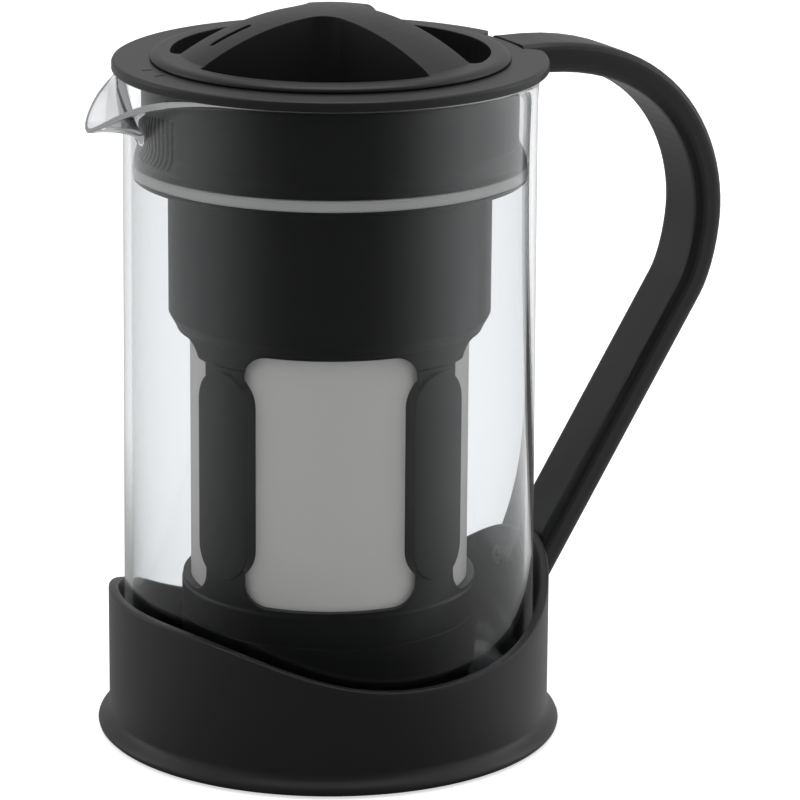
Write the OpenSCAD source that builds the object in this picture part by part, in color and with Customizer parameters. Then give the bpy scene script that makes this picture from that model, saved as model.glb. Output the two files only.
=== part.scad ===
// Cold brew coffee maker: a glass carafe in a moulded holder with a strap handle, a lid whose
// three-spoke cap turns a pouring shutter, and a brewing filter that hangs from the lid.
// Millimetres. The origin is the centre of the underside, +Z is up, +X points to the handle and
// -X to the spout.

/* [Glass carafe] */
// Outer radius of the glass wall
glass_r = 55; // [52:0.5:58]
// Thickness of the glass wall
glass_wall = 2.2; // [1.8:0.1:2.6]
// Height of the glass, from its underside to its rim
glass_h = 176.2; // [170:0.2:186]
// Thickness of the glass floor
glass_floor = 3; // [2:0.1:4]
// Outside radius of the corner between the glass floor and wall
glass_corner = 8; // [5:0.5:12]
// How far the rim stands out from the glass wall
rim_flare = 0.8; // [0.4:0.1:1.2]
// How far the spout reaches out from the glass wall
spout_reach = 16.4; // [12:0.1:18]
// How far the tip of the spout lies below the rim
spout_drop = 10; // [6:0.1:12]
// Angle over which the spout narrows from the wall to its tip
spout_spread = 15; // [12:0.5:18]
// Height of the spout, from its throat to the rim
spout_h = 19.5; // [18:0.5:22]
// Share of the glass wall's thickness that is lost at the tip of the spout
spout_thinning = 0.4; // [0:0.05:0.5]

/* [Holder] */
// Gap between the glass and the holder's wall
holder_gap = 2.4; // [1.8:0.1:2.8]
// Thickness of the holder's wall
holder_wall = 2.6; // [2.2:0.1:3.2]
// Thickness of the holder's floor
holder_floor = 2.4; // [1.8:0.1:3.5]
// Lowest height of the wavy rim
wave_low = 24.2; // [22:0.1:27]
// How much the rim rises on the spout's side
wave_spout_rise = 19.4; // [14:0.1:21]
// How much the rim rises on the handle's side
wave_handle_rise = 25.7; // [23:0.1:27]
// Distance of the rim's low point from the axis, towards the spout
wave_shift = 11.4; // [6:0.1:16]
// Angle from the handle to the rim's highest point
wave_turn = -6; // [-10:0.5:0]
// Angle by which the wave leans down towards the +Y side
wave_tilt = 3.6; // [0:0.1:4]
// How far the foot flares out from the wall
foot_flare = 3.1; // [1.5:0.1:4]
// Height of the flared foot
foot_h = 6; // [5:0.5:9]
// Number of ribs that centre the glass
centring_ribs = 8; // [4:1:10]
// Thickness of the non-slip pad under the holder
pad_t = 2.4; // [1.6:0.1:3]
// How far the pad stands out of the holder's underside
pad_proud = 0.6; // [0.3:0.1:1]
// Thickness of the cushion ring that the glass stands on
seat_t = 1.2; // [0.8:0.1:2]

/* [Handle] */
// Width of the handle's strap
handle_w = 20; // [17:0.1:22]
// Thickness of the handle's strap
handle_t = 8.3; // [7:0.1:9]
// Radius of the strap's long edges
handle_round = 2.8; // [1.5:0.1:3.3]
// Distance from the glass wall to the middle of the strap where it is farthest out
handle_out = 57.3; // [50:0.1:66]
// Height at which the strap is farthest out
handle_bend_z = 135; // [126:0.5:140]
// Height at which the strap meets the holder
handle_root_z = 40.1; // [38:0.1:42]
// Thickness of the tongue that holds the glass down by its rim
tongue_t = 3; // [2.8:0.1:3.4]
// Radius of the thread of the handle's screws
screw_r = 1.5; // [1.2:0.1:1.8]
// Distance between the two screws
screw_span = 9.2; // [8:0.1:10]

/* [Lid] */
// How far the lid's flange reaches past the glass wall
flange_overhang = 2.9; // [2.2:0.1:5]
// Thickness of the lid's flange
flange_t = 2.7; // [2.2:0.1:3.5]
// Gap between the inside of the glass and the lid's skirt
skirt_gap = 2.7; // [2:0.1:3.2]
// Thickness of the lid's skirt
skirt_t = 2.2; // [1.8:0.1:2.6]
// Depth of the lid below its flange
skirt_h = 28.4; // [26:0.1:32]
// Height of the soft ring that seals the lid in the glass
gasket_h = 3.4; // [2.6:0.1:4]
// Number of slots in the pouring strainer
strainer_slots = 10; // [6:2:12]
// Width of a strainer slot
slot_w = 1.1; // [0.8:0.1:1.3]
// Angle from one strainer slot to the next
slot_pitch = 2.4; // [2.2:0.1:2.8]

/* [Cap] */
// How far the lid's flange reaches inwards over its skirt, round the cap's bore
bore_lip = 2.2; // [1.6:0.1:2.8]
// How far the cap's rim reaches past its bore
cap_overhang = 2.1; // [1.6:0.1:3]
// Thickness of the cap's rim
cap_t = 1.8; // [1.5:0.05:3]
// How far the rounding of the cap's edge reaches inwards
cap_round = 2.6; // [1.5:0.1:3.2]
// Height of the three-spoke grip above the rim
grip_h = 11.5; // [8:0.1:13]
// Half the width of a spoke at the hub
spoke_hub = 7.1; // [5.5:0.1:8]
// Angle by which the spokes widen on each side
spoke_flare = 2.5; // [0:0.5:6]
// Width of the flat rim round the finger recesses
recess_rim = 5.4; // [4.4:0.1:6.5]
// Depth of the finger recesses below the rim
recess_depth = 8.5; // [6:0.1:11]
// Angle of the pointer from the handle, at rest
pointer_angle = 176; // [170:0.5:180]

/* [Filter] */
// Distance from the inside of the lid's skirt to the filter's sleeve
sleeve_inset = 4.7; // [4.4:0.1:5.4]
// Thickness of the sleeve's wall
sleeve_t = 2.1; // [1.8:0.1:2.4]
// Length of the sleeve below the lid
sleeve_h = 40; // [34:0.5:44]
// Distance from the outside of the sleeve to the mesh
mesh_inset = 5.7; // [5.3:0.1:6.4]
// Thickness of the mesh
mesh_t = 0.4; // [0.3:0.1:0.6]
// Height of the windows
window_h = 69.4; // [62:0.2:72]
// Corner radius of the windows
window_round = 6; // [4:0.5:9]
// Width of a rib where it meets the rings
rib_w = 11.5; // [9:0.1:15]
// Width of the raised pads on the ribs
rib_pad_w = 17.8; // [16:0.1:21]
// Length of the raised pads on the ribs
rib_pad_h = 57; // [40:0.5:59]
// How far the pads stand out of the ribs
rib_pad_proud = 1.1; // [0.4:0.1:1.3]
// Thickness of the ribs
rib_t = 2.2; // [1.8:0.1:2.6]
// Height of the ring below the windows
ring_h = 9.6; // [8.5:0.1:11]
// Gap between the filter and the glass floor
floor_gap = 5.6; // [5:0.1:7]
// Wall thickness of the filter's cup
cup_wall = 2; // [1.6:0.1:2.6]

/* [Fits] */
// Radial clearance of a part that turns or slides in another
run_fit = 0.2; // [0.15:0.05:0.3]
// Clearance of a part that is fixed in another
seat_fit = 0.05; // [0.02:0.01:0.1]
// Radial clearance of a rubber seal that slides
seal_fit = 0.1; // [0.06:0.02:0.16]

/* [Hidden] */
$fn = 96;
cut = 1;            // overlap of a cutting body beyond the surface that it cuts
edge = 0.6;         // small moulded edge radius

// Heights
holder_z = pad_proud;
floor_top_z = pad_t + holder_floor;
glass_z = floor_top_z + seat_t;
inner_floor_z = glass_z + glass_floor;
rim_z = glass_z + glass_h;
flange_z = rim_z + seal_fit;
flange_top_z = flange_z + flange_t;
lid_low_z = flange_z - skirt_h;
cap_z = flange_top_z + seal_fit;
cap_rim_z = cap_z + cap_t;
recess_z = cap_rim_z - recess_depth;

// Radii
glass_in_r = glass_r - glass_wall;
holder_in_r = glass_r + holder_gap;
holder_r = holder_in_r + holder_wall;
foot_r = holder_r + foot_flare;
toe_r = 1.2;
pad_out_r = foot_r - 5.6;
skirt_r = glass_in_r - skirt_gap;
skirt_in_r = skirt_r - skirt_t;
gasket_r = glass_in_r - run_fit;
flange_r = glass_r + flange_overhang;
bore_r = skirt_in_r - bore_lip;
cap_r = bore_r + cap_overhang;
sleeve_r = skirt_in_r - sleeve_inset;
mesh_r = sleeve_r - mesh_inset;
lip_r = gasket_r - 0.4;
groove_r = skirt_r - 0.6;

// Wavy rim of the holder: how late it rises towards each side
wave_spout_power = 1.23;
wave_handle_power = 4.7;

// Spout: the rim's bulge over the angle from the spout's axis
spout_power = 1.6;
throat_power = 5;
fine_step = 3;
coarse_step = 6;
fine_reach = 48;
throat_z = rim_z - spout_h;
throat_rings = 12;
rim_bead = 0.6;
mouth_root = 2;      // the mouth's facets start inside the wall, below the throat
mouth_out_r = glass_r - 0.03;
mouth_in_r = glass_in_r / cos(coarse_step / 2) + 0.02;
mouth_wall = mouth_out_r - mouth_in_r;

// Handle
handle_x = glass_r + handle_out;
tongue_x = glass_in_r + 0.4;
tongue_top_z = rim_z + seat_fit + tongue_t;
strap_z = tongue_top_z - handle_t / 2;
root_lean = 31.5;   // lean of the straight stretch from the vertical, outwards
root_dir = [sin(root_lean), cos(root_lean)];
root_x = holder_r + 2.6;
bend_end_z = handle_bend_z - 22.5;
bend_end_x = root_x + (bend_end_z - handle_root_z) * tan(root_lean);
screw_z = handle_root_z - 1.6;
screw_head_r = 2.7;
screw_head_t = 1.5;
screw_l = 6.2;

// Lid
groove_z = lid_low_z + 1.2;
lip_top_z = groove_z + gasket_h + 1.4;
skirt_blend = 4.4;
bayonet_ledge = 3;
neck_r = sleeve_r + run_fit;
lug_h = 2;
lug_out = 2.4;
lug_angle = 20;
lug_count = 3;
notch_w = handle_w + 1.4;
notch_r = glass_in_r - 0.1;
mouth_r = 6;
mark_angles = [175, 184];
strainer_low_z = lip_top_z + 1.2;
strainer_top_z = flange_z - 8.2;

// Cap and shutter
plug_r = bore_r - run_fit;
plug_t = 2.2;
shutter_r = skirt_in_r - run_fit;
shutter_t = 1.5;
shutter_low_z = lid_low_z + bayonet_ledge + 0.4;
shutter_top_z = flange_z - seal_fit;
shutter_rim_t = 1.8;
shutter_window = strainer_slots * slot_pitch + 4;
seal_r = 0.75;
seal_groove = 1.7;
recess_r = cap_r - recess_rim;
dome_r = recess_r - 2.4;
dome_power = 2.2;
apex_r = 8;
corner_r = 3;
core_in = 6;           // hollow of a spoke, open below
core_w = 2 * (spoke_hub - 2.4);
core_lid = 2;
pointer_in = 23.2;
pointer_out = 33.4;
pointer_w = 2.2;
pointer_depth = 0.8;

// Filter
sleeve_low_z = lid_low_z - sleeve_h;
sleeve_top_z = lid_low_z + bayonet_ledge + seal_fit + lug_h;
spigot_r = sleeve_r - sleeve_t - seat_fit;
spigot_h = 12;
window_top_z = sleeve_low_z - 0.9;
mesh_lap = 1.6;
window_low_z = window_top_z - window_h;
ring_low_z = window_low_z - ring_h;
frame_in_r = mesh_r + seat_fit;
rib_r = frame_in_r + rib_t;
pad_r = rib_r + rib_pad_proud;
window_count = 4;
rib_angle = 19.6;   // first rib, from the handle
cup_z = inner_floor_z + floor_gap;
cup_top_z = ring_low_z - seal_fit;
cup_neck_h = 7.4;
cup_seal_r = 0.6;
cup_seal_z = cup_top_z + 6;
cup_neck_r = frame_in_r - run_fit;
cup_lug_r = cup_neck_r + 1.1;

// ---------------------------------------------------------------- helpers

// A tube from z to z + h
module tube(outer, inner, z, h) {
    translate([0, 0, z]) difference() {
        cylinder(r = outer, h = h);
        translate([0, 0, -cut]) cylinder(r = inner, h = h + 2 * cut);
    }
}

// A ring of round section
module o_ring(ring_r, section_r, z) {
    translate([0, 0, z]) rotate_extrude() translate([ring_r, 0]) circle(r = section_r, $fn = 24);
}

// A sector of a tube, centred on the angle
module sector(outer, inner, z, h, angle, width) {
    rotate(angle - width / 2) translate([0, 0, z]) rotate_extrude(angle = width)
        translate([inner, 0]) square([outer - inner, h]);
}

// A rectangle with round corners, centred, made of squares and circles
module round_rect(w, h, r) {
    square([w - 2 * r, h], center = true);
    square([w, h - 2 * r], center = true);
    for (x = [-1, 1], y = [-1, 1]) translate([x * (w / 2 - r), y * (h / 2 - r)]) circle(r = r);
}

// A plate that stands radially at the angle: its outline has its width across and its height up
module radial_plate(angle, from_r, to_r, z) {
    rotate(angle) translate([from_r, 0, z]) rotate([90, 0, 90])
        linear_extrude(to_r - from_r) children();
}

// ---------------------------------------------------------------- glass carafe

// Angles round the axis, closer together at the spout
spout_angles = concat(
    [for (a = [-fine_reach:fine_step:fine_reach]) 180 + a],
    [for (a = [fine_reach + coarse_step:coarse_step:360 - fine_reach - coarse_step]) 180 + a]);

function bulge(angle) = exp(-pow(abs(angle - 180) / spout_spread, spout_power));
function near_spout(angle) = angle > 360 ? bulge(angle - 360) : bulge(angle);
function rim_height(angle) = rim_z - spout_drop * pow(near_spout(angle), 2);
// The mouth's inner side over the share u of its height: upright at the throat, level at the rim
function throat_out(u) = 1 - sqrt(1 - pow(u, throat_power));
function throat_slope(u) = throat_power / 2 * pow(u, throat_power - 1) / sqrt(1 - pow(u, throat_power));
function ring_share(i) = sin(90 * max(i, 0) / throat_rings);
function ring_low(i) = i < 0 ? throat_z - mouth_root : throat_z;
function rim_dip(i) = rim_bead * pow(ring_share(i), 8);   // leaves room for the round crown
// A point of ring i of the mouth, outset through the wall from its inner side and dipped along it
function throat_point(angle, i, outset, dip) =
    let (u = ring_share(i), near = near_spout(angle), rise = rim_height(angle) - throat_z,
         lean = atan(spout_reach * near * throat_slope(min(u, 0.97)) / rise),
         wall = outset * (1 - spout_thinning * near * pow(u, 4)),
         r = mouth_in_r + rim_flare * pow(u, 6) + spout_reach * near * throat_out(u)
             + wall * cos(lean) - dip * sin(lean))
    [r * cos(angle), r * sin(angle), ring_low(i) + u * rise - wall * sin(lean) - dip * cos(lean)];

// The mouth of the carafe, from the throat of the spout to the rim
module glass_mouth() {
    columns = len(spout_angles);
    outer = [for (i = [-1:throat_rings]) [for (a = spout_angles)
        throat_point(a, i, mouth_wall, rim_dip(i))]];
    crown = [for (k = [[0.7, 0.1], [0.5, 0], [0.3, 0.1]]) [for (a = spout_angles)
        throat_point(a, throat_rings, k[0] * mouth_wall, k[1] * rim_bead)]];
    inner = [for (i = [throat_rings:-1:-1]) [for (a = spout_angles)
        throat_point(a, i, 0, rim_dip(i))]];
    rings = concat(outer, crown, inner);
    count = len(rings);
    points = [for (ring = rings) each ring];
    faces = [for (i = [0:count - 1], j = [0:columns - 1])
        let (a = i * columns + j, b = i * columns + (j + 1) % columns,
             c = ((i + 1) % count) * columns + (j + 1) % columns, d = ((i + 1) % count) * columns + j)
        each [[a, c, b], [a, d, c]]];
    polyhedron(points = points, faces = faces, convexity = 6);
}

module glass_carafe() {
    inner_corner = glass_corner - glass_wall;
    color([0.86, 0.89, 0.9, 0.35]) union() {
        glass_mouth();
        rotate_extrude() difference() {
            union() {
                translate([0, glass_z]) square([glass_r - glass_corner, throat_z - glass_z]);
                translate([0, glass_z + glass_corner])
                    square([glass_r, throat_z - glass_z - glass_corner]);
                translate([glass_r - glass_corner, glass_z + glass_corner]) circle(r = glass_corner);
            }
            translate([0, inner_floor_z]) square([glass_in_r - inner_corner, glass_h]);
            translate([0, inner_floor_z + inner_corner]) square([glass_in_r, glass_h]);
            translate([glass_in_r - inner_corner, inner_floor_z + inner_corner])
                circle(r = inner_corner);
            translate([-glass_r, 0]) square([glass_r, glass_h]);
        }
    }
}

// ---------------------------------------------------------------- holder and handle

// Height of the wavy rim over the distance x from the axis, along the wave
function wave(x) = x < -wave_shift
    ? wave_low + wave_spout_rise * pow((-x - wave_shift) / (holder_r - wave_shift), wave_spout_power)
    : wave_low + wave_handle_rise * pow((x + wave_shift) / (holder_r + wave_shift), wave_handle_power);

module above_wave() {
    wave_steps = 40;
    reach = holder_r + cut;
    line = [for (i = [0:wave_steps]) let (x = -reach + 2 * reach * i / wave_steps) [x, wave(x)]];
    rotate([-wave_tilt, 0, wave_turn]) rotate([90, 0, 0]) linear_extrude(3 * holder_r, center = true)
        polygon(concat(line, [[reach, 3 * holder_r], [-reach, 3 * holder_r]]));
}

// Outline of the holder's wall and floor, right of the axis
module holder_profile() {
    low = holder_z;
    wall_top = wave_low + max(wave_spout_rise, wave_handle_rise) + holder_r * tan(wave_tilt) + 2;
    polygon(concat(
        [[0, pad_t], [pad_out_r + seat_fit, pad_t], [pad_out_r + seat_fit, low],
         [foot_r - toe_r, low]],
        [for (a = [-60:20:0]) [foot_r - toe_r + toe_r * cos(a), low + toe_r + toe_r * sin(a)]],
        [for (t = [0.15:0.17:1])
            [holder_r + foot_flare * (1 + cos(180 * pow(t, 0.85))) / 2,
             low + toe_r + (foot_h - low - toe_r) * t]],
        [[holder_r, wall_top], [holder_in_r, wall_top],
         [holder_in_r, floor_top_z + 3], [holder_in_r - 3, floor_top_z], [0, floor_top_z]]));
}

// Axis of the strap's straight stretch: x and z at a distance above the root
function strap_axis(d) = [root_x, handle_root_z] + d * root_dir;

module screw_holes(r, from_r, to_r) {
    for (side = [-1, 1]) translate([from_r, side * screw_span / 2, screw_z])
        rotate([0, 90, 0]) cylinder(r = r, h = to_r - from_r, $fn = 32);
}

module base_holder() {
    rib_low_z = floor_top_z + glass_corner;
    color([0.09, 0.09, 0.1]) difference() {
        union() {
            rotate_extrude() holder_profile();
            for (i = [0:centring_ribs - 1]) rotate((i + 0.5) * 360 / centring_ribs)
                translate([glass_r + seal_fit, -0.7, rib_low_z]) cube([holder_gap + 0.5, 1.4, 9]);
        }
        above_wave();
        screw_holes(screw_r + seat_fit, holder_in_r - 2, holder_r + 2);
        screw_holes(screw_head_r + 0.2, holder_in_r - 3, holder_in_r + 1);
    }
}

module foot_pad() {
    groove_count = 3;
    color([0.13, 0.13, 0.13]) difference() {
        cylinder(r = pad_out_r, h = pad_t);
        for (i = [1:groove_count]) translate([0, 0, -cut])
            tube(pad_out_r - 4 * i, pad_out_r - 4 * i - 1.4, 0, cut + 0.8);
    }
}

module glass_seat() {
    seat_out_r = glass_r - glass_corner;
    color([0.2, 0.2, 0.2]) tube(seat_out_r, seat_out_r - 9, floor_top_z, seat_t);
}

function bezier(p, t) = pow(1 - t, 3) * p[0] + 3 * pow(1 - t, 2) * t * p[1]
    + 3 * (1 - t) * t * t * p[2] + pow(t, 3) * p[3];

// Middle line of the strap, x and z: out over the rim, down round the bend, then straight
top_curve = [[glass_r + 1, strap_z], [glass_r + 0.75 * handle_out, strap_z + 1.6],
             [handle_x, handle_bend_z + 20.5], [handle_x, handle_bend_z]];
bend_end = [bend_end_x, bend_end_z];
bend_curve = [[handle_x, handle_bend_z], [handle_x, handle_bend_z - 7],
              bend_end + 6 * root_dir, bend_end];
strap_line = concat(
    [[tongue_x, strap_z]],
    [for (i = [0:22]) bezier(top_curve, i / 22)],
    [for (i = [1:8]) bezier(bend_curve, i / 8)],
    [strap_axis(40), strap_axis(20), strap_axis(4), strap_axis(-14.5)]);

// Points round the strap's section: thickness across, width along Y
function strap_section() = let (a = handle_t / 2 - handle_round, b = handle_w / 2 - handle_round)
    [for (q = [[1, 1, 0], [-1, 1, 90], [-1, -1, 180], [1, -1, 270]], k = [0:4])
        let (w = q[2] + k * 22.5)
        [q[0] * a + handle_round * cos(w), q[1] * b + handle_round * sin(w)]];

module strap() {
    n = len(strap_line);
    section = strap_section();
    m = len(section);
    points = [for (i = [0:n - 1])
        let (p = strap_line[i], d = strap_line[min(i + 1, n - 1)] - strap_line[max(i - 1, 0)],
             u = d / norm(d), side = [-u[1], u[0]])
        each [for (s = section) [p[0] + s[0] * side[0], s[1], p[1] + s[0] * side[1]]]];
    sides = [for (i = [0:n - 2], j = [0:m - 1])
        let (a = i * m + j, b = i * m + (j + 1) % m, c = b + m, d = a + m)
        each [[a, b, c], [a, c, d]]];
    ends = [[for (j = [m - 1:-1:0]) j], [for (j = [0:m - 1]) (n - 1) * m + j]];
    polyhedron(points = points, faces = concat(sides, ends), convexity = 8);
}

module handle() {
    color([0.09, 0.09, 0.1]) difference() {
        strap();
        cylinder(r = glass_r + rim_flare + seal_fit, h = rim_z + seat_fit);
        cylinder(r = holder_r, h = handle_root_z + 30);
        screw_holes(screw_r, holder_r - 2, holder_in_r + screw_l + 0.6);
    }
}

module handle_screws() {
    head_x = holder_in_r + 1 - screw_head_t;
    color([0.7, 0.7, 0.72]) difference() {
        union() {
            screw_holes(screw_head_r, head_x, holder_in_r + 1);
            screw_holes(screw_r, holder_in_r + 1 - seat_fit, holder_in_r + screw_l);
        }
        for (side = [-1, 1]) translate([head_x, side * screw_span / 2, screw_z]) {
            cube([1.6, 0.7, 3], center = true);
            cube([1.6, 3, 0.7], center = true);
        }
    }
}

// ---------------------------------------------------------------- lid

// Outline of the flange, skirt, sealing groove and bayonet ledge, right of the axis
module lid_profile() {
    difference() {
        union() {
            polygon([[bore_r, flange_z], [flange_r - 0.3, flange_z], [flange_r, flange_z + 0.3],
                     [flange_r, flange_top_z - 0.8], [flange_r - 0.25, flange_top_z - 0.25],
                     [flange_r - 0.8, flange_top_z], [bore_r + 0.4, flange_top_z],
                     [bore_r, flange_top_z - 0.4]]);
            translate([skirt_in_r, lid_low_z]) square([skirt_t, skirt_h + edge]);
            polygon([[skirt_in_r, lid_low_z], [lip_r - edge, lid_low_z], [lip_r, lid_low_z + edge],
                     [lip_r, lip_top_z], [lip_r - 0.35, lip_top_z + 0.9],
                     [skirt_r + 0.45, lip_top_z + skirt_blend - 1.6],
                     [skirt_r, lip_top_z + skirt_blend], [skirt_in_r, lip_top_z + skirt_blend]]);
            translate([neck_r, lid_low_z]) square([skirt_in_r - neck_r + edge, bayonet_ledge]);
        }
        translate([groove_r, groove_z]) square([glass_r, gasket_h]);
    }
}

// The gap in the flange that takes the handle's tongue, with round corners at its mouth
module tongue_gap() {
    mouth_y = notch_w / 2 + mouth_r;
    mouth_x = sqrt(pow(flange_r - mouth_r, 2) - mouth_y * mouth_y);
    reach = 2 * flange_r;
    difference() {
        polygon([[0, 0], reach * [mouth_x, mouth_y] / flange_r, reach * [mouth_x, -mouth_y] / flange_r]);
        for (side = [-1, 1]) {
            translate([mouth_x, side * mouth_y]) circle(r = mouth_r);
            translate([mouth_x / 2, side * (notch_w / 2 + mouth_r)])
                square([mouth_x, 2 * mouth_r], center = true);
        }
    }
}

module lid_body() {
    mark_r = cap_r + 1.8;
    mark_depth = 0.4;
    notch_angle = lug_angle + 5;
    color([0.09, 0.09, 0.1]) difference() {
        rotate_extrude() lid_profile();
        difference() {
            translate([0, 0, flange_z - cut]) linear_extrude(flange_t + 2 * cut) tongue_gap();
            cylinder(r = notch_r, h = rim_z + 3 * flange_t);
        }
        for (i = [0:strainer_slots - 1])
            radial_plate(180 + (i - (strainer_slots - 1) / 2) * slot_pitch,
                         skirt_in_r - cut, glass_r, (strainer_low_z + strainer_top_z) / 2)
                square([slot_w, strainer_top_z - strainer_low_z], center = true);
        for (i = [0:lug_count - 1])
            sector(neck_r + lug_out + run_fit, neck_r - cut, lid_low_z - cut,
                   bayonet_ledge + 2 * cut, 60 + i * 360 / lug_count, notch_angle);
        translate([0, 0, flange_top_z - mark_depth]) {
            for (angle = mark_angles) rotate(angle) translate([mark_r, -0.45, 0]) cube([2.8, 0.9, cut]);
        }
    }
}

module lid_gasket() {
    bead = gasket_h / 2 - 0.1;
    mid_z = groove_z + gasket_h / 2;
    color([0.62, 0.61, 0.6]) rotate_extrude() union() {
        translate([groove_r, groove_z + seat_fit])
            square([gasket_r - groove_r - 0.9, gasket_h - 2 * seat_fit]);
        polygon([[gasket_r - 1, mid_z - bead], [gasket_r - 0.3, mid_z - bead + 0.2],
                 [gasket_r, mid_z - bead + 0.7], [gasket_r, mid_z + bead - 0.7],
                 [gasket_r - 0.3, mid_z + bead - 0.2], [gasket_r - 1, mid_z + bead]]);
    }
}

// ---------------------------------------------------------------- cap

// Height of the grip's dome over the rim at a radius
function dome(r) = grip_h * (1 - pow(min(r, dome_r) / dome_r, dome_power));

// One finger recess: a rounded triangle between the straight sides of two spokes
module recess_outline() {
    side = spoke_hub * cos(spoke_flare);
    apex_x = (apex_r + side) / sin(60 - spoke_flare);
    corner_x = recess_r - corner_r;
    spread = 60 - spoke_flare - asin((corner_r + side) / corner_x);
    hull() {
        translate([apex_x, 0]) circle(r = apex_r, $fn = 48);
        for (k = [-8:8]) rotate(spread * k / 8) translate([corner_x, 0]) circle(r = corner_r, $fn = 48);
    }
}

module lid_cap() {
    dome_steps = 14;
    plug_low_z = recess_z - 3.6;
    chord = atan((dome(pointer_in) - dome(pointer_out)) / (pointer_out - pointer_in));
    profile = concat(
        [[0, recess_z - 1.8], [plug_r - plug_t, recess_z - 1.8], [plug_r - plug_t, plug_low_z],
         [plug_r, plug_low_z], [plug_r, cap_z], [cap_r - 0.3, cap_z]],
        [for (a = [0:15:90]) [cap_r - cap_round * (1 - cos(a)), cap_z + 0.3 + (cap_t - 0.3) * sin(a)]],
        [for (i = [dome_steps:-1:0]) let (r = dome_r * i / dome_steps) [r, cap_rim_z + dome(r)]]);
    color([0.09, 0.09, 0.1]) difference() {
        union() {
            rotate_extrude() polygon(profile);
            // bead that the shutter ring clips over
            rotate_extrude() polygon([[plug_r - 1, shutter_top_z - shutter_rim_t - 1.4],
                [plug_r, shutter_top_z - shutter_rim_t - 1.4],
                [plug_r + 0.5, shutter_top_z - shutter_rim_t - 0.7],
                [plug_r + 0.5, shutter_top_z - shutter_rim_t - seal_fit],
                [plug_r - 1, shutter_top_z - shutter_rim_t - seal_fit]]);
        }
        for (i = [0:2]) rotate(pointer_angle + 60 + i * 120)
            translate([0, 0, recess_z]) linear_extrude(grip_h + recess_depth + cut) recess_outline();
        for (i = [0:2]) rotate(pointer_angle + i * 120)
            translate([core_in, -core_w / 2, plug_low_z - cut])
                cube([dome_r - 2 * core_in, core_w, cap_rim_z - core_lid - plug_low_z + cut]);
        translate([0, 0, (flange_z + flange_top_z) / 2]) rotate_extrude()
            translate([bore_r - seal_fit - 2 * seal_r, -seal_groove / 2]) square([4, seal_groove]);
        rotate(pointer_angle) translate([pointer_in, 0, cap_rim_z + dome(pointer_in) - pointer_depth])
            rotate([0, chord, 0]) linear_extrude(3) union() {
                translate([0, -pointer_w / 2]) square([pointer_out - pointer_in, pointer_w]);
                for (x = [0, pointer_out - pointer_in]) translate([x, 0]) circle(d = pointer_w, $fn = 24);
            }
    }
}

module shutter_ring() {
    window_z = strainer_low_z - 0.8;
    color([0.14, 0.14, 0.15]) difference() {
        union() {
            tube(shutter_r, shutter_r - shutter_t, shutter_low_z, shutter_top_z - shutter_low_z);
            tube(shutter_r, plug_r + seat_fit, shutter_top_z - shutter_rim_t, shutter_rim_t);
        }
        sector(shutter_r + cut, shutter_r - shutter_t - cut, window_z,
               strainer_top_z - window_z + 0.8, 180, shutter_window);
    }
}

module cap_seal() {
    color([0.55, 0.54, 0.53])
        o_ring(bore_r - seal_fit - seal_r, seal_r, (flange_z + flange_top_z) / 2);
}

// ---------------------------------------------------------------- filter

module filter_sleeve() {
    inner = sleeve_r - sleeve_t;
    groove_z = lid_low_z + bayonet_ledge / 2;
    color([0.1, 0.1, 0.11]) union() {
        rotate_extrude() difference() {
            polygon([[inner, sleeve_low_z], [inner + 0.3, sleeve_low_z], [sleeve_r - 0.4, sleeve_low_z + 2.6],
                     [sleeve_r, sleeve_low_z + 3.4], [sleeve_r, sleeve_top_z - 0.5],
                     [sleeve_r - 0.5, sleeve_top_z], [inner, sleeve_top_z]]);
            translate([neck_r - seal_fit - 2 * seal_r, groove_z - seal_groove / 2])
                square([4, seal_groove]);
        }
        for (i = [0:lug_count - 1])
            sector(neck_r + lug_out, sleeve_r - 0.4, sleeve_top_z - lug_h, lug_h,
                   i * 360 / lug_count, lug_angle);
    }
}

module sleeve_seal() {
    color([0.55, 0.54, 0.53])
        o_ring(neck_r - seal_fit - seal_r, seal_r, lid_low_z + bayonet_ledge / 2);
}

// Shell of the frame, right of the axis: spigot, collar, rib band and bottom ring
module frame_profile() {
    collar_z = sleeve_low_z - 4.9;
    polygon([[frame_in_r, ring_low_z], [rib_r + 0.2, ring_low_z], [rib_r + 0.2, window_low_z - 1.6],
             [rib_r - 0.1, window_low_z - 0.8], [rib_r - 0.1, collar_z - 1.2],
             [spigot_r - 0.3, collar_z - 0.3], [spigot_r, collar_z + 0.2],
             [spigot_r, sleeve_low_z + spigot_h], [frame_in_r + 1.4, sleeve_low_z + spigot_h],
             [frame_in_r + 1.4, sleeve_low_z + 3], [frame_in_r, sleeve_low_z + 1.6]]);
}

module filter_frame() {
    mid_z = (window_low_z + window_top_z) / 2;
    window_w = 2 * frame_in_r * sin(45 - asin(rib_w / 2 / rib_r));
    groove_top_z = ring_low_z + 4;
    color([0.1, 0.1, 0.11]) difference() {
        union() {
            difference() {
                rotate_extrude() frame_profile();
                for (i = [0:window_count - 1])
                    radial_plate(rib_angle + 45 + i * 90, 24, spigot_r + 10, mid_z)
                        round_rect(window_w, window_h, window_round);
            }
            intersection() {
                tube(pad_r, frame_in_r, window_low_z, window_h);
                for (i = [0:window_count - 1])
                    radial_plate(rib_angle + i * 90, 24, pad_r + 2, mid_z) {
                        square([rib_pad_w, rib_pad_h - rib_pad_w], center = true);
                        for (y = [-1, 1]) translate([0, y * (rib_pad_h - rib_pad_w) / 2])
                            circle(d = rib_pad_w);
                    }
            }
        }
        // bayonet groove and its entries for the cup's lugs
        tube(cup_lug_r + run_fit, frame_in_r - cut, ring_low_z + 1.8, groove_top_z - ring_low_z - 1.8);
        for (i = [0:lug_count - 1])
            sector(cup_lug_r + run_fit, frame_in_r - cut, ring_low_z - cut, 3 + cut,
                   60 + i * 360 / lug_count, 24);
    }
}

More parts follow.
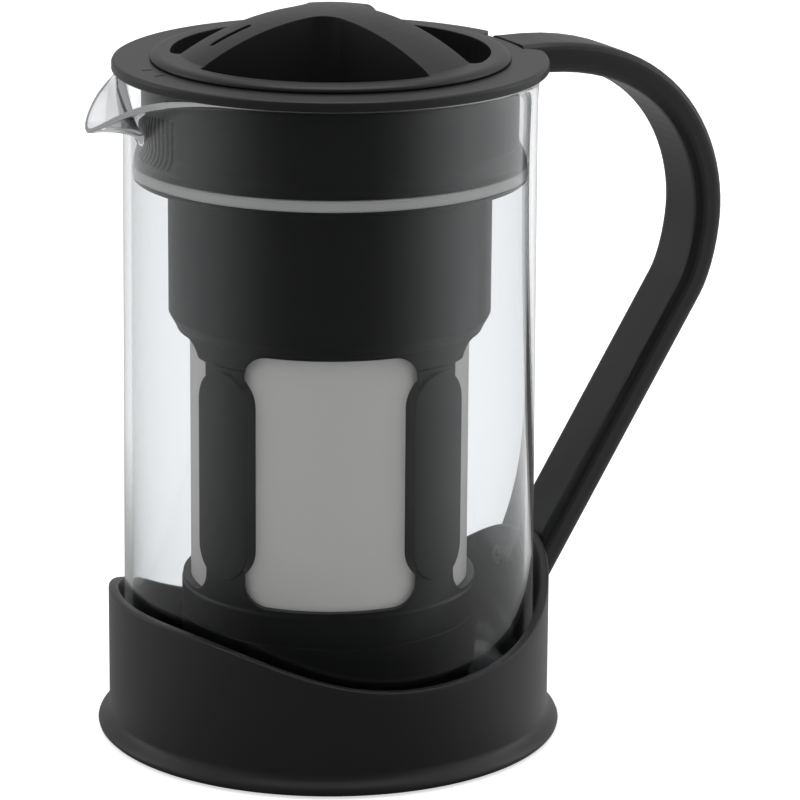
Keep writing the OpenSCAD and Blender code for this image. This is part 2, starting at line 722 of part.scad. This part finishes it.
module mesh_screen() {
    color([0.66, 0.64, 0.62])
        tube(mesh_r, mesh_r - mesh_t, window_low_z - mesh_lap, window_h + 2 * mesh_lap);
}

module filter_cup() {
    round = 6;
    outer = rib_r + 0.2;
    color([0.1, 0.1, 0.11]) union() {
        rotate_extrude() difference() {
            polygon(concat(
                [[0, cup_z]],
                [for (a = [-90:15:0]) [outer - round + round * cos(a), cup_z + round + round * sin(a)]],
                [[outer, cup_top_z], [cup_neck_r, cup_top_z], [cup_neck_r, cup_top_z + cup_neck_h],
                 [cup_neck_r - cup_wall, cup_top_z + cup_neck_h],
                 [cup_neck_r - cup_wall, cup_z + cup_wall + 4],
                 [cup_neck_r - cup_wall - 4, cup_z + cup_wall], [0, cup_z + cup_wall]]));
            translate([frame_in_r - seal_fit - 2 * cup_seal_r, cup_seal_z - 0.7]) square([4, 1.4]);
        }
        for (i = [0:lug_count - 1])
            sector(cup_lug_r, cup_neck_r - 0.4, ring_low_z + 2, 1.2, i * 360 / lug_count, 18);
    }
}

module cup_seal() {
    color([0.55, 0.54, 0.53])
        o_ring(frame_in_r - seal_fit - cup_seal_r, cup_seal_r, cup_seal_z);
}

glass_carafe();
base_holder();
foot_pad();
glass_seat();
handle();
handle_screws();
lid_body();
lid_gasket();
lid_cap();
shutter_ring();
cap_seal();
filter_sleeve();
sleeve_seal();
filter_frame();
mesh_screen();
filter_cup();
cup_seal();
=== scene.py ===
"""Looks of the cold brew coffee maker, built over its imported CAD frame. Metres; +X is the handle's side."""
import math

import bmesh
import bpy
from mathutils import Matrix, Vector


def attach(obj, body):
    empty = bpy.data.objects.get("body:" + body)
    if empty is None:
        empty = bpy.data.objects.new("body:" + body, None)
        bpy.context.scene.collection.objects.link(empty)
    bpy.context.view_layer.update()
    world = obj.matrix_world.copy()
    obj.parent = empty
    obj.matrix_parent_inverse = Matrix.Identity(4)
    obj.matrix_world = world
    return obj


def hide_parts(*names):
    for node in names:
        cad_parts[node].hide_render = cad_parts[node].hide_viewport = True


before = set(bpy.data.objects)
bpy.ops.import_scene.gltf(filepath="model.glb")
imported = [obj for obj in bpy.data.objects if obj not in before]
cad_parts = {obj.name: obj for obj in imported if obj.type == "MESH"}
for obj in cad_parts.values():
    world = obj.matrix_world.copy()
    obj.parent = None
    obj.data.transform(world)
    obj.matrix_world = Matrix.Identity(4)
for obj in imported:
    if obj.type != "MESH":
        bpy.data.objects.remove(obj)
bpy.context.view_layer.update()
MM = 0.001

# ------------------------------------------------------------------ sizes of the glass, in mm
GLASS_R = 55.0                          # outside, at the throat
GLASS_WALL = 2.2
GLASS_DRAFT = 0.8                       # it is this much wider at its foot than at its throat
GLASS_LOW = 6.0                         # its underside, on the soft seat
GLASS_FLOOR = 3.0
GLASS_CORNER = 8.0
GLASS_RINGS = (8.0, 30.0)               # radii of the rings in its flat floor
THROAT_Z = 162.7                        # where the mouth begins
RIM_Z = 182.2
RIM_FLARE = 0.8
RIM_BEAD = 0.9
SPOUT_BEARING = 180
SPOUT_REACH = 16.4
SPOUT_DROP = 10.0
SPOUT_SPREAD = 15.0
SPOUT_POWER = 1.6
SPOUT_THINNING = 0.4
THROAT_POWER = 5.0
LEAN_LIMIT = 0.97                       # the share of the mouth's height from which its lean stays
ARC_STEPS = 8
MOUTH_STEPS = 32
FINE_HALF = 48                          # degrees to each side of the spout with a column at every degree
COARSE_STEP = 3                         # degrees from column to column elsewhere

# ------------------------------------------------------------------ sizes of the holder, in mm
HOLDER_R = 60.0
HOLDER_IN_R = 57.4
HOLDER_LOW = 0.6                        # the pad stands this much below the foot
HOLDER_FLOOR = 4.8
FLOOR_FILLET = 3.0
PAD_R = 57.55
PAD_TOP = 2.4
PAD_RING_R = PAD_R - 12.0               # a ring of the mesh in the flat floor
FOOT_R = 63.1
FOOT_H = 6.0
TOE_R = 1.2
FLARE_POWER = 0.85
EDGE_R = 0.6                            # the round edges of the rim
RIM_MIDDLE = 33.5
RIM_WAVES = ((0.31, -3.54), (10.16, -1.86), (2.58, -0.29), (0.64, -0.17), (1.02, -0.17))
HOLDER_COLUMNS = 240
SHARP_DEGREES = 40
RIBS = 8
RIB_HALF = 0.7                          # half of a rib's thickness
RIB_LOW = 12.8
RIB_HIGH = 21.8
RIB_GAP = 0.1                           # to the glass
RIB_SINK = 0.5                          # into the wall
RIB_TAPER = (0.6, 2.0)                  # how far its top draws back from the glass, and over what height

# ------------------------------------------------------------------ light, in shares of plain white
ROOM_FRONT = 0.040                      # what shiny surfaces see on the camera's side,
ROOM_LEFT = 0.33                        # to the left
ROOM_RIGHT = 0.53                       # and to the right
ROOM_MATT = 0.85                        # what matt surfaces see all round
DARK_UNTIL, LIT_FROM = -1.0, -0.1       # bearings, from front to back, between which the room gets light
GLASS_GAIN = 2.5                        # how much more of it shows inside one wall of the glass
TURNED_TONE = 0.85                      # light that has turned often inside one wall
PAINTED_CAUGHT_GLOW = 0.12                      # painted glow of the glass, standing in for light caught inside the first wall, at each late turn
FLOOR_GLOW = 0.6                        # the floor's own light, seen openly
GLASS_GLOW = 0.36                       # and through glass
NEAR_TONE = 0.85                        # the floor's share of the room's tone close to the foot (painted shadow),
NEAR_WALL = 0.15                        # and inside one wall of the glass
NEAR_M, FAR_M = 0.12, 0.34              # distances from the axis between which it rises to all of it

# ------------------------------------------------------------------ places seen from the camera, in metres
HANDLE_TURN = math.radians(26.0)        # the handle's bearing in the camera's own frame
CAMERA_PITCH = 0.2746
CAMERA_YAW = 0.01655
CAMERA_ROLL = 0.008
CAMERA_PLACE = (0.0, -1.150, 0.41507)
FOCAL_PIXELS = 4429.0
FRAME_PIXELS = 800.0
SENSOR_MM = 36.0
FLOOR_HALF = 3.0
LAMPS = (                               # name, place, target, width, height and watts
    ("softbox_left", (-1.2, 0.35, 0.55), (0, 0, 0.12), 0.5, 1.0, 1.2),
    ("softbox_right", (1.2, 0.4, 0.55), (0, 0, 0.12), 0.5, 1.0, 1.3),
    ("softbox_top", (0.0, 0.1, 1.3), (0, 0, 0.1), 0.9, 0.9, 4.0),
)

# ------------------------------------------------------------------ sizes in the materials, in metres
MESH_R = 0.0375
MESH_PITCH = 0.00045
SOFT_EDGE = 0.0005                      # the plastic's edges look this round
LIP_SHADE_FROM, LIP_SHADE_TO = -0.055, -0.059       # X between which the glass is tinted grey, painted shade for the spout's greyer lip


# ------------------------------------------------------------------ node helpers
def new_material(name):
    mat = bpy.data.materials.new(name)
    mat.use_nodes = True
    tree = mat.node_tree
    shader = next(n for n in tree.nodes if n.type == "BSDF_PRINCIPLED")
    return mat, tree, shader


def add_node(tree, kind, **values):
    node = tree.nodes.new(kind)
    for key, value in values.items():
        setattr(node, key, value)
    return node


def object_coords(tree):
    return add_node(tree, "ShaderNodeTexCoord").outputs["Object"]


def separate(tree, vector):
    node = add_node(tree, "ShaderNodeSeparateXYZ")
    tree.links.new(vector, node.inputs[0])
    return node.outputs


def noise(tree, vector, scale, detail=3.0, roughness=0.5):
    node = add_node(tree, "ShaderNodeTexNoise")
    node.inputs["Scale"].default_value = scale
    node.inputs["Detail"].default_value = detail
    node.inputs["Roughness"].default_value = roughness
    tree.links.new(vector, node.inputs["Vector"])
    return node.outputs["Fac"]


def math_node(tree, operation, a, b=None):
    node = add_node(tree, "ShaderNodeMath", operation=operation)
    for socket, value in zip(node.inputs, (a, b)):
        if value is None:
            continue
        if isinstance(value, (int, float)):
            socket.default_value = value
        else:
            tree.links.new(value, socket)
    return node.outputs[0]


def map_range(tree, value, lo, hi, from_lo=0.0, from_hi=1.0, kind="LINEAR"):
    node = add_node(tree, "ShaderNodeMapRange", interpolation_type=kind)
    for key, number in (("From Min", from_lo), ("From Max", from_hi), ("To Min", lo), ("To Max", hi)):
        node.inputs[key].default_value = number
    tree.links.new(value, node.inputs["Value"])
    return node.outputs[0]


def mix_value(tree, factor, a, b):
    node = add_node(tree, "ShaderNodeMix", data_type="FLOAT")
    for socket, value in ((node.inputs["A"], a), (node.inputs["B"], b)):
        if isinstance(value, float):
            socket.default_value = value
        else:
            tree.links.new(value, socket)
    tree.links.new(factor, node.inputs["Factor"])
    return node.outputs["Result"]


def mix_colour(tree, factor, a, b):
    node = add_node(tree, "ShaderNodeMix", data_type="RGBA")
    for socket, value in ((node.inputs["A"], a), (node.inputs["B"], b)):
        if isinstance(value, tuple):
            socket.default_value = (*value, 1)
        else:
            tree.links.new(value, socket)
    tree.links.new(factor, node.inputs["Factor"])
    return node.outputs["Result"]


def bump(tree, shader, height, strength, distance, normal=None):
    node = add_node(tree, "ShaderNodeBump")
    if normal is not None:
        tree.links.new(normal, node.inputs["Normal"])
    node.inputs["Strength"].default_value = strength
    node.inputs["Distance"].default_value = distance
    tree.links.new(height, node.inputs["Height"])
    tree.links.new(node.outputs["Normal"], shader.inputs["Normal"])


# ------------------------------------------------------------------ kinds of ray
def one_wall(tree, rays):
    """1 on rays that have gone into one wall of the glass and out of it."""
    walls = rays.outputs["Transmission Depth"]
    return math_node(tree, "MULTIPLY", math_node(tree, "GREATER_THAN", walls, 0.5),
                     math_node(tree, "LESS_THAN", walls, 3.5))


def white_share(tree):
    """Share of plain white that a ray sees, and the node with its depths.

    It is 1 straight from the camera or through glass, and TURNED_TONE on rays that have turned often
    inside one wall of the glass.
    """
    rays = add_node(tree, "ShaderNodeLightPath")
    bounces = math_node(tree, "ADD", rays.outputs["Diffuse Depth"], rays.outputs["Glossy Depth"])
    plain = math_node(tree, "LESS_THAN", bounces, 0.5)
    often = math_node(tree, "GREATER_THAN", rays.outputs["Glossy Depth"], 1.5)
    inside = math_node(tree, "MULTIPLY", often, one_wall(tree, rays))
    never_matt = math_node(tree, "LESS_THAN", rays.outputs["Diffuse Depth"], 0.5)
    turned = math_node(tree, "MULTIPLY", math_node(tree, "MULTIPLY", inside, never_matt), TURNED_TONE)
    return math_node(tree, "MAXIMUM", plain, turned), rays


# ------------------------------------------------------------------ materials
def moulded_plastic(name, dark, light, roughness):
    mat, tree, shader = new_material(name)
    coords = object_coords(tree)
    broad = noise(tree, coords, 35.0, 2.0)
    fine = noise(tree, coords, 2600.0, 2.0, 0.6)
    tree.links.new(mix_colour(tree, broad, dark, light), shader.inputs["Base Color"])
    tree.links.new(map_range(tree, fine, roughness - 0.03, roughness + 0.03), shader.inputs["Roughness"])
    shader.inputs["Specular IOR Level"].default_value = 0.5
    soft = add_node(tree, "ShaderNodeBevel", samples=6)
    soft.inputs["Radius"].default_value = SOFT_EDGE
    bump(tree, shader, fine, 0.02, 0.00006, soft.outputs["Normal"])
    return mat


def clear_glass(name):
    """Clear glass, with painted shade greying the spout's lip and a faint painted glow standing in for light
    caught inside its wall.
    """
    mat, tree, shader = new_material(name)
    coords = object_coords(tree)
    waves = noise(tree, coords, 14.0, 1.0)
    wall = mix_colour(tree, waves, (0.860, 0.875, 0.887), (0.870, 0.884, 0.896))
    # painted shade: the glass's colour turns grey over the spout's lip
    lip = map_range(tree, separate(tree, coords)["X"], 0.0, 1.0, LIP_SHADE_FROM, LIP_SHADE_TO, "SMOOTHSTEP")
    tree.links.new(mix_colour(tree, lip, wall, (0.60, 0.61, 0.625)), shader.inputs["Base Color"])
    shader.inputs["Transmission Weight"].default_value = 1.0
    shader.inputs["Roughness"].default_value = 0.0
    shader.inputs["IOR"].default_value = 1.46
    # painted glow: on late rays inside the first wall the glass emits a faint light, standing in for light
    # caught in it
    rays = add_node(tree, "ShaderNodeLightPath")
    late = math_node(tree, "GREATER_THAN", rays.outputs["Ray Depth"], 3.5)
    inside = math_node(tree, "LESS_THAN", rays.outputs["Transmission Depth"], 1.5)
    shader.inputs["Emission Strength"].default_value = PAINTED_CAUGHT_GLOW
    shader.inputs["Emission Color"].default_value = (0, 0, 0, 1)
    tree.links.new(math_node(tree, "MULTIPLY", late, inside), shader.inputs["Emission Color"])
    bump(tree, shader, waves, 0.02, 0.0003)
    return mat


def silicone(name, dark, light):
    mat, tree, shader = new_material(name)
    coords = object_coords(tree)
    cloud = noise(tree, coords, 60.0, 3.0)
    fine = noise(tree, coords, 1500.0, 2.0)
    tree.links.new(mix_colour(tree, cloud, dark, light), shader.inputs["Base Color"])
    tree.links.new(map_range(tree, fine, 0.38, 0.5), shader.inputs["Roughness"])
    shader.inputs["Subsurface Weight"].default_value = 0.25
    shader.inputs["Subsurface Radius"].default_value = (0.0015, 0.0014, 0.0013)
    bump(tree, shader, fine, 0.06, 0.00005)
    return mat


def rubber(name, dark, light):
    mat, tree, shader = new_material(name)
    coords = object_coords(tree)
    cloud = noise(tree, coords, 90.0, 3.0)
    fine = noise(tree, coords, 2200.0, 2.0)
    tree.links.new(mix_colour(tree, cloud, dark, light), shader.inputs["Base Color"])
    tree.links.new(map_range(tree, fine, 0.7, 0.85), shader.inputs["Roughness"])
    bump(tree, shader, fine, 0.15, 0.00008)
    return mat


def turned_steel(name):
    mat, tree, shader = new_material(name)
    fine = noise(tree, object_coords(tree), 1200.0, 3.0)
    tree.links.new(mix_colour(tree, fine, (0.5, 0.5, 0.51), (0.62, 0.62, 0.63)), shader.inputs["Base Color"])
    tree.links.new(map_range(tree, fine, 0.28, 0.4), shader.inputs["Roughness"])
    shader.inputs["Metallic"].default_value = 1.0
    bump(tree, shader, fine, 0.08, 0.00004)
    return mat


def woven_mesh(name):
    """Fine wires over and under each other, round the axis and along it."""
    mat, tree, shader = new_material(name)
    coords = object_coords(tree)
    place = separate(tree, coords)
    angle = math_node(tree, "ARCTAN2", place["Y"], place["X"])
    wires_round = round(2 * math.pi * MESH_R / MESH_PITCH)
    across = math_node(tree, "MULTIPLY", angle, wires_round / 2)
    along = math_node(tree, "MULTIPLY", place["Z"], math.pi / MESH_PITCH)
    warp = math_node(tree, "ABSOLUTE", math_node(tree, "SINE", across))
    weft = math_node(tree, "ABSOLUTE", math_node(tree, "SINE", along))
    weave = math_node(tree, "MULTIPLY", warp, weft)
    cloud = noise(tree, coords, 45.0, 3.0)
    tone = math_node(tree, "ADD", math_node(tree, "MULTIPLY", weave, 0.5),
                     math_node(tree, "MULTIPLY", cloud, 0.5))
    tree.links.new(mix_colour(tree, tone, (0.84, 0.82, 0.775), (0.91, 0.89, 0.845)),
                   shader.inputs["Base Color"])
    tree.links.new(map_range(tree, weave, 0.5, 0.4), shader.inputs["Roughness"])
    bump(tree, shader, weave, 0.12, 0.00008)
    return mat


BLACK = moulded_plastic("black_satin_plastic", (0.0084, 0.0086, 0.0093), (0.0100, 0.0102, 0.0110), 0.36)
GLASS = clear_glass("clear_brewing_glass")
SEAL = silicone("grey_silicone", (0.66, 0.645, 0.63), (0.72, 0.705, 0.69))
RUBBER = rubber("black_rubber", (0.02, 0.02, 0.02), (0.032, 0.032, 0.032))
STEEL = turned_steel("turned_steel")
MESH = woven_mesh("fine_woven_mesh")

NODE_MATERIALS = {
    "glass_carafe": GLASS, "base_holder": BLACK, "foot_pad": RUBBER, "glass_seat": RUBBER,
    "handle": BLACK, "handle_screws": STEEL, "lid_body": BLACK, "lid_gasket": SEAL,
    "lid_cap": BLACK, "shutter_ring": BLACK, "cap_seal": SEAL, "filter_sleeve": BLACK,
    "sleeve_seal": SEAL, "filter_frame": BLACK, "mesh_screen": MESH, "filter_cup": BLACK,
    "cup_seal": SEAL,
}
for node_name, material in NODE_MATERIALS.items():
    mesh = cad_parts[node_name].data
    mesh.materials.clear()
    mesh.materials.append(material)


# ------------------------------------------------------------------ mesh helpers
def mesh_object(name, vertices, faces, material, smooth=True):
    data = bpy.data.meshes.new(name)
    data.from_pydata([Vector(v) for v in vertices], [], faces)
    data.update()
    if smooth:
        data.polygons.foreach_set("use_smooth", [True] * len(data.polygons))
    data.materials.append(material)
    obj = bpy.data.objects.new(name, data)
    bpy.context.scene.collection.objects.link(obj)
    return obj


def fix_normals(obj):
    work = bmesh.new()
    work.from_mesh(obj.data)
    bmesh.ops.recalc_face_normals(work, faces=work.faces)
    work.to_mesh(obj.data)
    work.free()


def direction(degrees):
    return math.cos(math.radians(degrees)), math.sin(math.radians(degrees))


def round_loft(angles, profile, under_z, over_z):
    """Vertices and faces of a closed form whose profile changes with the angle, fanned at both ends."""
    rows = len(profile(angles[0]))
    vertices, faces = [], []
    for angle in angles:
        c, s = direction(angle)
        vertices += [(r * c * MM, r * s * MM, z * MM) for r, z in profile(angle)]
    under, over = len(vertices), len(vertices) + 1
    vertices += [(0, 0, under_z * MM), (0, 0, over_z * MM)]
    for i in range(len(angles)):
        a, b = i * rows, (i + 1) % len(angles) * rows
        faces += [(a + k, b + k, b + k + 1, a + k + 1) for k in range(rows - 1)]
        faces += [(under, b, a), (over, a + rows - 1, b + rows - 1)]
    return vertices, faces


# ------------------------------------------------------------------ glass
def bulge(angle):
    """1 on the spout's bearing, falling to 0 away from it."""
    turn = abs((angle - SPOUT_BEARING + 180.0) % 360.0 - 180.0)
    return math.exp(-((turn / SPOUT_SPREAD) ** SPOUT_POWER))


def rim_height(angle):
    return RIM_Z - SPOUT_DROP * bulge(angle) ** 2


def throat_out(u):
    """Share of the spout's reach over the share u of the mouth's height: upright first, level at the rim."""
    return 1.0 - math.sqrt(max(0.0, 1.0 - u ** THROAT_POWER))


def throat_slope(u):
    return THROAT_POWER / 2 * u ** (THROAT_POWER - 1) / math.sqrt(1.0 - u ** THROAT_POWER)


def mouth_frame(angle, u):
    """The mouth's inner side at the share u: its radius and height, its lean and the wall's thickness there."""
    near, rise = bulge(angle), rim_height(angle) - THROAT_Z
    lean = math.atan(SPOUT_REACH * near * throat_slope(min(u, LEAN_LIMIT)) / rise)
    wall = GLASS_WALL * (1.0 - SPOUT_THINNING * near * u ** 4)
    radius = GLASS_R - GLASS_WALL + RIM_FLARE * u ** 6 + SPOUT_REACH * near * throat_out(u)
    return radius, THROAT_Z + u * rise, lean, wall


def mouth_point(angle, u, through, dip):
    """A point at the share `through` of the wall from its inner side, dipped along the wall."""
    radius, height, lean, wall = mouth_frame(angle, u)
    c, s = math.cos(lean), math.sin(lean)
    return (radius + through * wall * c - dip * s, height - through * wall * s - dip * c)


def mouth_side(angle, through):
    shares = [math.sin(math.pi / 2 * i / MOUTH_STEPS) for i in range(MOUTH_STEPS + 1)]
    return [mouth_point(angle, u, through, RIM_BEAD * u ** 8) for u in shares]


def rim_crown(angle):
    """The rim's round top, from the outer side to the inner one."""
    turns = [math.pi * k / ARC_STEPS for k in range(1, ARC_STEPS)]
    return [mouth_point(angle, 1.0, 0.5 + 0.5 * math.cos(a), RIM_BEAD * (1.0 - math.sin(a))) for a in turns]


def glass_profile(angle):
    """Radius and height from the underside, up the outside, over the rim and down the inside."""
    foot_r = GLASS_R + GLASS_DRAFT
    floor_z = GLASS_LOW + GLASS_FLOOR
    inner_r = foot_r - GLASS_WALL
    corner = GLASS_CORNER - GLASS_WALL
    wall_low = GLASS_LOW + GLASS_CORNER
    quarter = [-math.pi / 2 * (1 - k / ARC_STEPS) for k in range(ARC_STEPS + 1)]
    rise = [i / ARC_STEPS for i in range(1, ARC_STEPS)]
    outside = (
        [(r, GLASS_LOW) for r in GLASS_RINGS]
        + [(foot_r - GLASS_CORNER + GLASS_CORNER * math.cos(a), wall_low + GLASS_CORNER * math.sin(a))
           for a in quarter]
        + [(foot_r - GLASS_DRAFT * t, wall_low + (THROAT_Z - wall_low) * t) for t in rise]
        + mouth_side(angle, 1.0))
    inside = (
        mouth_side(angle, 0.0)[::-1]
        + [(inner_r - GLASS_DRAFT * t, wall_low + (THROAT_Z - wall_low) * t) for t in reversed(rise)]
        + [(inner_r - corner + corner * math.cos(a), floor_z + corner + corner * math.sin(a))
           for a in reversed(quarter)]
        + [(r, floor_z) for r in reversed(GLASS_RINGS)])
    return outside + rim_crown(angle) + inside


def build_glass():
    start, end = SPOUT_BEARING - FINE_HALF, SPOUT_BEARING + FINE_HALF
    angles = [*range(start, end), *range(end, start + 360, COARSE_STEP)]
    vertices, faces = round_loft(angles, glass_profile, GLASS_LOW, GLASS_LOW + GLASS_FLOOR)
    glass = mesh_object("brewing_glass", vertices, faces, GLASS)
    fix_normals(glass)
    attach(glass, "carafe")
    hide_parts("glass_carafe")


# ------------------------------------------------------------------ holder
def rim_wave(angle):
    """Height of the holder's wavy rim at an angle from the handle."""
    turn = math.radians(angle)
    return RIM_MIDDLE + sum(a * math.cos(k * turn) + b * math.sin(k * turn)
                            for k, (a, b) in enumerate(RIM_WAVES, 1))


def holder_profile(angle):
    """Radius and height from the underside, over the foot, up the outside and down the inside."""
    toe_z = HOLDER_LOW + TOE_R
    edge_z = rim_wave(angle) - EDGE_R
    toe = [math.radians(a) for a in (-90, -60, -30, 0)]
    flare = [i / 8 for i in range(1, 9)]
    climb = [i / 6 for i in range(1, 6)]
    edge = [math.radians(a) for a in (0, 22.5, 45, 67.5, 90)]
    return (
        [(PAD_RING_R, PAD_TOP), (PAD_R, PAD_TOP), (PAD_R, HOLDER_LOW)]
        + [(FOOT_R - TOE_R + TOE_R * math.cos(a), toe_z + TOE_R * math.sin(a)) for a in toe]
        + [(HOLDER_R + (FOOT_R - HOLDER_R) * (1 + math.cos(math.pi * t ** FLARE_POWER)) / 2,
            toe_z + (FOOT_H - toe_z) * t) for t in flare]
        + [(HOLDER_R, FOOT_H + (edge_z - FOOT_H) * t) for t in climb]
        + [(HOLDER_R - EDGE_R + EDGE_R * math.cos(a), edge_z + EDGE_R * math.sin(a)) for a in edge]
        + [(HOLDER_IN_R + EDGE_R - EDGE_R * math.cos(a), edge_z + EDGE_R * math.sin(a))
           for a in reversed(edge)]
        + [(HOLDER_IN_R, FOOT_H + (edge_z - FOOT_H) * t) for t in reversed(climb)]
        + [(HOLDER_IN_R - FLOOR_FILLET * inward, HOLDER_FLOOR + FLOOR_FILLET * up)
           for inward, up in ((0, 1), (0.3, 0.3), (1, 0))]
        + [(PAD_RING_R, HOLDER_FLOOR)])


def rib_corners():
    """Radius and height round one side of a rib, from its low inner corner."""
    inner, outer = GLASS_R + GLASS_DRAFT + RIB_GAP, HOLDER_IN_R + RIB_SINK
    back, drop = RIB_TAPER
    return [(inner, RIB_LOW), (outer, RIB_LOW), (outer, RIB_HIGH), (inner + back, RIB_HIGH),
            (inner, RIB_HIGH - drop)]


def add_ribs(vertices, faces):
    """Ribs inside the wall that centre the glass, tapered at their tops."""
    corners = rib_corners()
    count = len(corners)
    for i in range(RIBS):
        c, s = direction((i + 0.5) * 360 / RIBS)
        start = len(vertices)
        for y in (-RIB_HALF, RIB_HALF):
            vertices += [((x * c - y * s) * MM, (x * s + y * c) * MM, z * MM) for x, z in corners]
        near, far = range(start, start + count), range(start + count, start + 2 * count)
        faces += [tuple(reversed(near)), tuple(far)]
        faces += [(near[k], near[(k + 1) % count], far[(k + 1) % count], far[k]) for k in range(count)]


def build_holder():
    angles = [360.0 * i / HOLDER_COLUMNS for i in range(HOLDER_COLUMNS)]
    vertices, faces = round_loft(angles, holder_profile, PAD_TOP, HOLDER_FLOOR)
    add_ribs(vertices, faces)
    holder = mesh_object("moulded_holder", vertices, faces, BLACK)
    fix_normals(holder)
    holder.data.set_sharp_from_angle(angle=math.radians(SHARP_DEGREES))
    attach(holder, "carafe")
    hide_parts("base_holder")


# ------------------------------------------------------------------ camera
def to_model(vector):
    """Turns a vector of the camera's own upright frame into the model's frame."""
    return Matrix.Rotation(-HANDLE_TURN, 3, "Z") @ Vector(vector)


def add_camera():
    ahead = Vector((math.sin(CAMERA_YAW) * math.cos(CAMERA_PITCH),
                    math.cos(CAMERA_YAW) * math.cos(CAMERA_PITCH), -math.sin(CAMERA_PITCH)))
    right = Vector((math.cos(CAMERA_YAW), -math.sin(CAMERA_YAW), 0.0))
    up = right.cross(ahead)
    rolled_right = right * math.cos(CAMERA_ROLL) + up * math.sin(CAMERA_ROLL)
    rolled_up = up * math.cos(CAMERA_ROLL) - right * math.sin(CAMERA_ROLL)
    turn = Matrix((to_model(rolled_right), to_model(rolled_up), to_model(-ahead))).transposed()
    data = bpy.data.cameras.new("view")
    data.sensor_width = SENSOR_MM
    data.lens = FOCAL_PIXELS * SENSOR_MM / FRAME_PIXELS
    camera = bpy.data.objects.new("view", data)
    camera.matrix_world = Matrix.Translation(to_model(CAMERA_PLACE)) @ turn.to_4x4()
    bpy.context.scene.collection.objects.link(camera)
    bpy.context.scene.camera = camera


# ------------------------------------------------------------------ floor, world and lamps
def bearing(tree, unit, towards):
    """How far a unit vector points towards a direction, from -1 to 1."""
    node = add_node(tree, "ShaderNodeVectorMath", operation="DOT_PRODUCT")
    tree.links.new(unit, node.inputs[0])
    node.inputs[1].default_value = to_model(towards)
    return node.outputs["Value"]


def studio_tone(tree, vector, rays):
    """What shiny surfaces see round the object: dark on the camera's side, light from the sides on.

    Light that has only turned inside one wall of the glass sees more of the lit sides.
    """
    flat = add_node(tree, "ShaderNodeVectorMath", operation="MULTIPLY")
    tree.links.new(vector, flat.inputs[0])
    flat.inputs[1].default_value = (1, 1, 0)
    unit = add_node(tree, "ShaderNodeVectorMath", operation="NORMALIZE")
    tree.links.new(flat.outputs["Vector"], unit.inputs[0])
    back = map_range(tree, bearing(tree, unit.outputs["Vector"], (0, 1, 0)), 0.0, 1.0,
                     DARK_UNTIL, LIT_FROM, "SMOOTHSTEP")
    side = map_range(tree, bearing(tree, unit.outputs["Vector"], (1, 0, 0)), ROOM_LEFT, ROOM_RIGHT,
                     -1.0, 1.0)
    lit = math_node(tree, "MULTIPLY", back, side)
    gain = mix_value(tree, one_wall(tree, rays), 1.0, GLASS_GAIN)
    return math_node(tree, "MULTIPLY", math_node(tree, "ADD", lit, ROOM_FRONT), gain)


def floor_fade(tree, coords, rays):
    """Share of the studio's tone that shiny surfaces see in the floor: less of it close to the foot, a painted
    shadow.
    """
    reach = add_node(tree, "ShaderNodeVectorMath", operation="LENGTH")
    tree.links.new(coords, reach.inputs[0])
    openly, inside = (map_range(tree, reach.outputs["Value"], near, 1.0, NEAR_M, FAR_M, "SMOOTHSTEP")
                      for near in (NEAR_TONE, NEAR_WALL))
    return mix_value(tree, one_wall(tree, rays), openly, inside)


def add_floor():
    """White to the camera and in matt light; shiny surfaces see the studio's tone in it."""
    mat, tree, shader = new_material("pale_floor")
    coords = object_coords(tree)
    tone = noise(tree, coords, 3.0, 2.0)
    white = mix_colour(tree, tone, (0.80, 0.80, 0.80), (0.83, 0.83, 0.83))
    direct, rays = white_share(tree)
    shiny = math_node(tree, "GREATER_THAN", rays.outputs["Glossy Depth"], 0.5)
    tree.links.new(mix_colour(tree, shiny, white, (0.0, 0.0, 0.0)), shader.inputs["Base Color"])
    shader.inputs["Roughness"].default_value = 0.9
    shader.inputs["Specular IOR Level"].default_value = 0.1
    shader.inputs["Emission Color"].default_value = (1, 1, 1, 1)
    through = math_node(tree, "GREATER_THAN", rays.outputs["Transmission Depth"], 0.5)
    seen = math_node(tree, "MULTIPLY", direct, mix_value(tree, through, FLOOR_GLOW, GLASS_GLOW))
    mirrored = math_node(tree, "MULTIPLY", shiny,
                         math_node(tree, "MULTIPLY", floor_fade(tree, coords, rays),
                                   studio_tone(tree, coords, rays)))
    tree.links.new(math_node(tree, "ADD", seen, mirrored), shader.inputs["Emission Strength"])
    corners = [(x * FLOOR_HALF, y * FLOOR_HALF, 0) for x, y in ((-1, -1), (1, -1), (1, 1), (-1, 1))]
    floor = mesh_object("floor", corners, [(0, 1, 2, 3)], mat, smooth=False)


def add_world():
    """White behind the object, an even room for matt surfaces and a dark-fronted one for shiny ones."""
    world = bpy.data.worlds.new("studio")
    bpy.context.scene.world = world
    world.use_nodes = True
    tree = world.node_tree
    background = next(n for n in tree.nodes if n.type == "BACKGROUND")
    coords = add_node(tree, "ShaderNodeTexCoord").outputs["Generated"]
    direct, rays = white_share(tree)
    matt = math_node(tree, "GREATER_THAN", rays.outputs["Diffuse Depth"], 0.5)
    bounced = mix_value(tree, matt, studio_tone(tree, coords, rays), ROOM_MATT)
    background.inputs["Color"].default_value = (1, 1, 1, 1)
    tree.links.new(mix_value(tree, direct, bounced, 1.0), background.inputs["Strength"])


def add_lamp(name, place, target, width, height, watts):
    data = bpy.data.lights.new(name, "AREA")
    data.shape = "RECTANGLE"
    data.size, data.size_y = width, height
    data.energy = watts
    lamp = bpy.data.objects.new(name, data)
    start, end = to_model(place), to_model(target)
    turn = (start - end).to_track_quat("Z", "Y").to_matrix().to_4x4()
    lamp.matrix_world = Matrix.Translation(start) @ turn
    bpy.context.scene.collection.objects.link(lamp)


build_glass()
build_holder()
add_camera()
add_floor()
add_world()
for lamp_sizes in LAMPS:
    add_lamp(*lamp_sizes)
bpy.context.scene.view_settings.view_transform = "Standard"
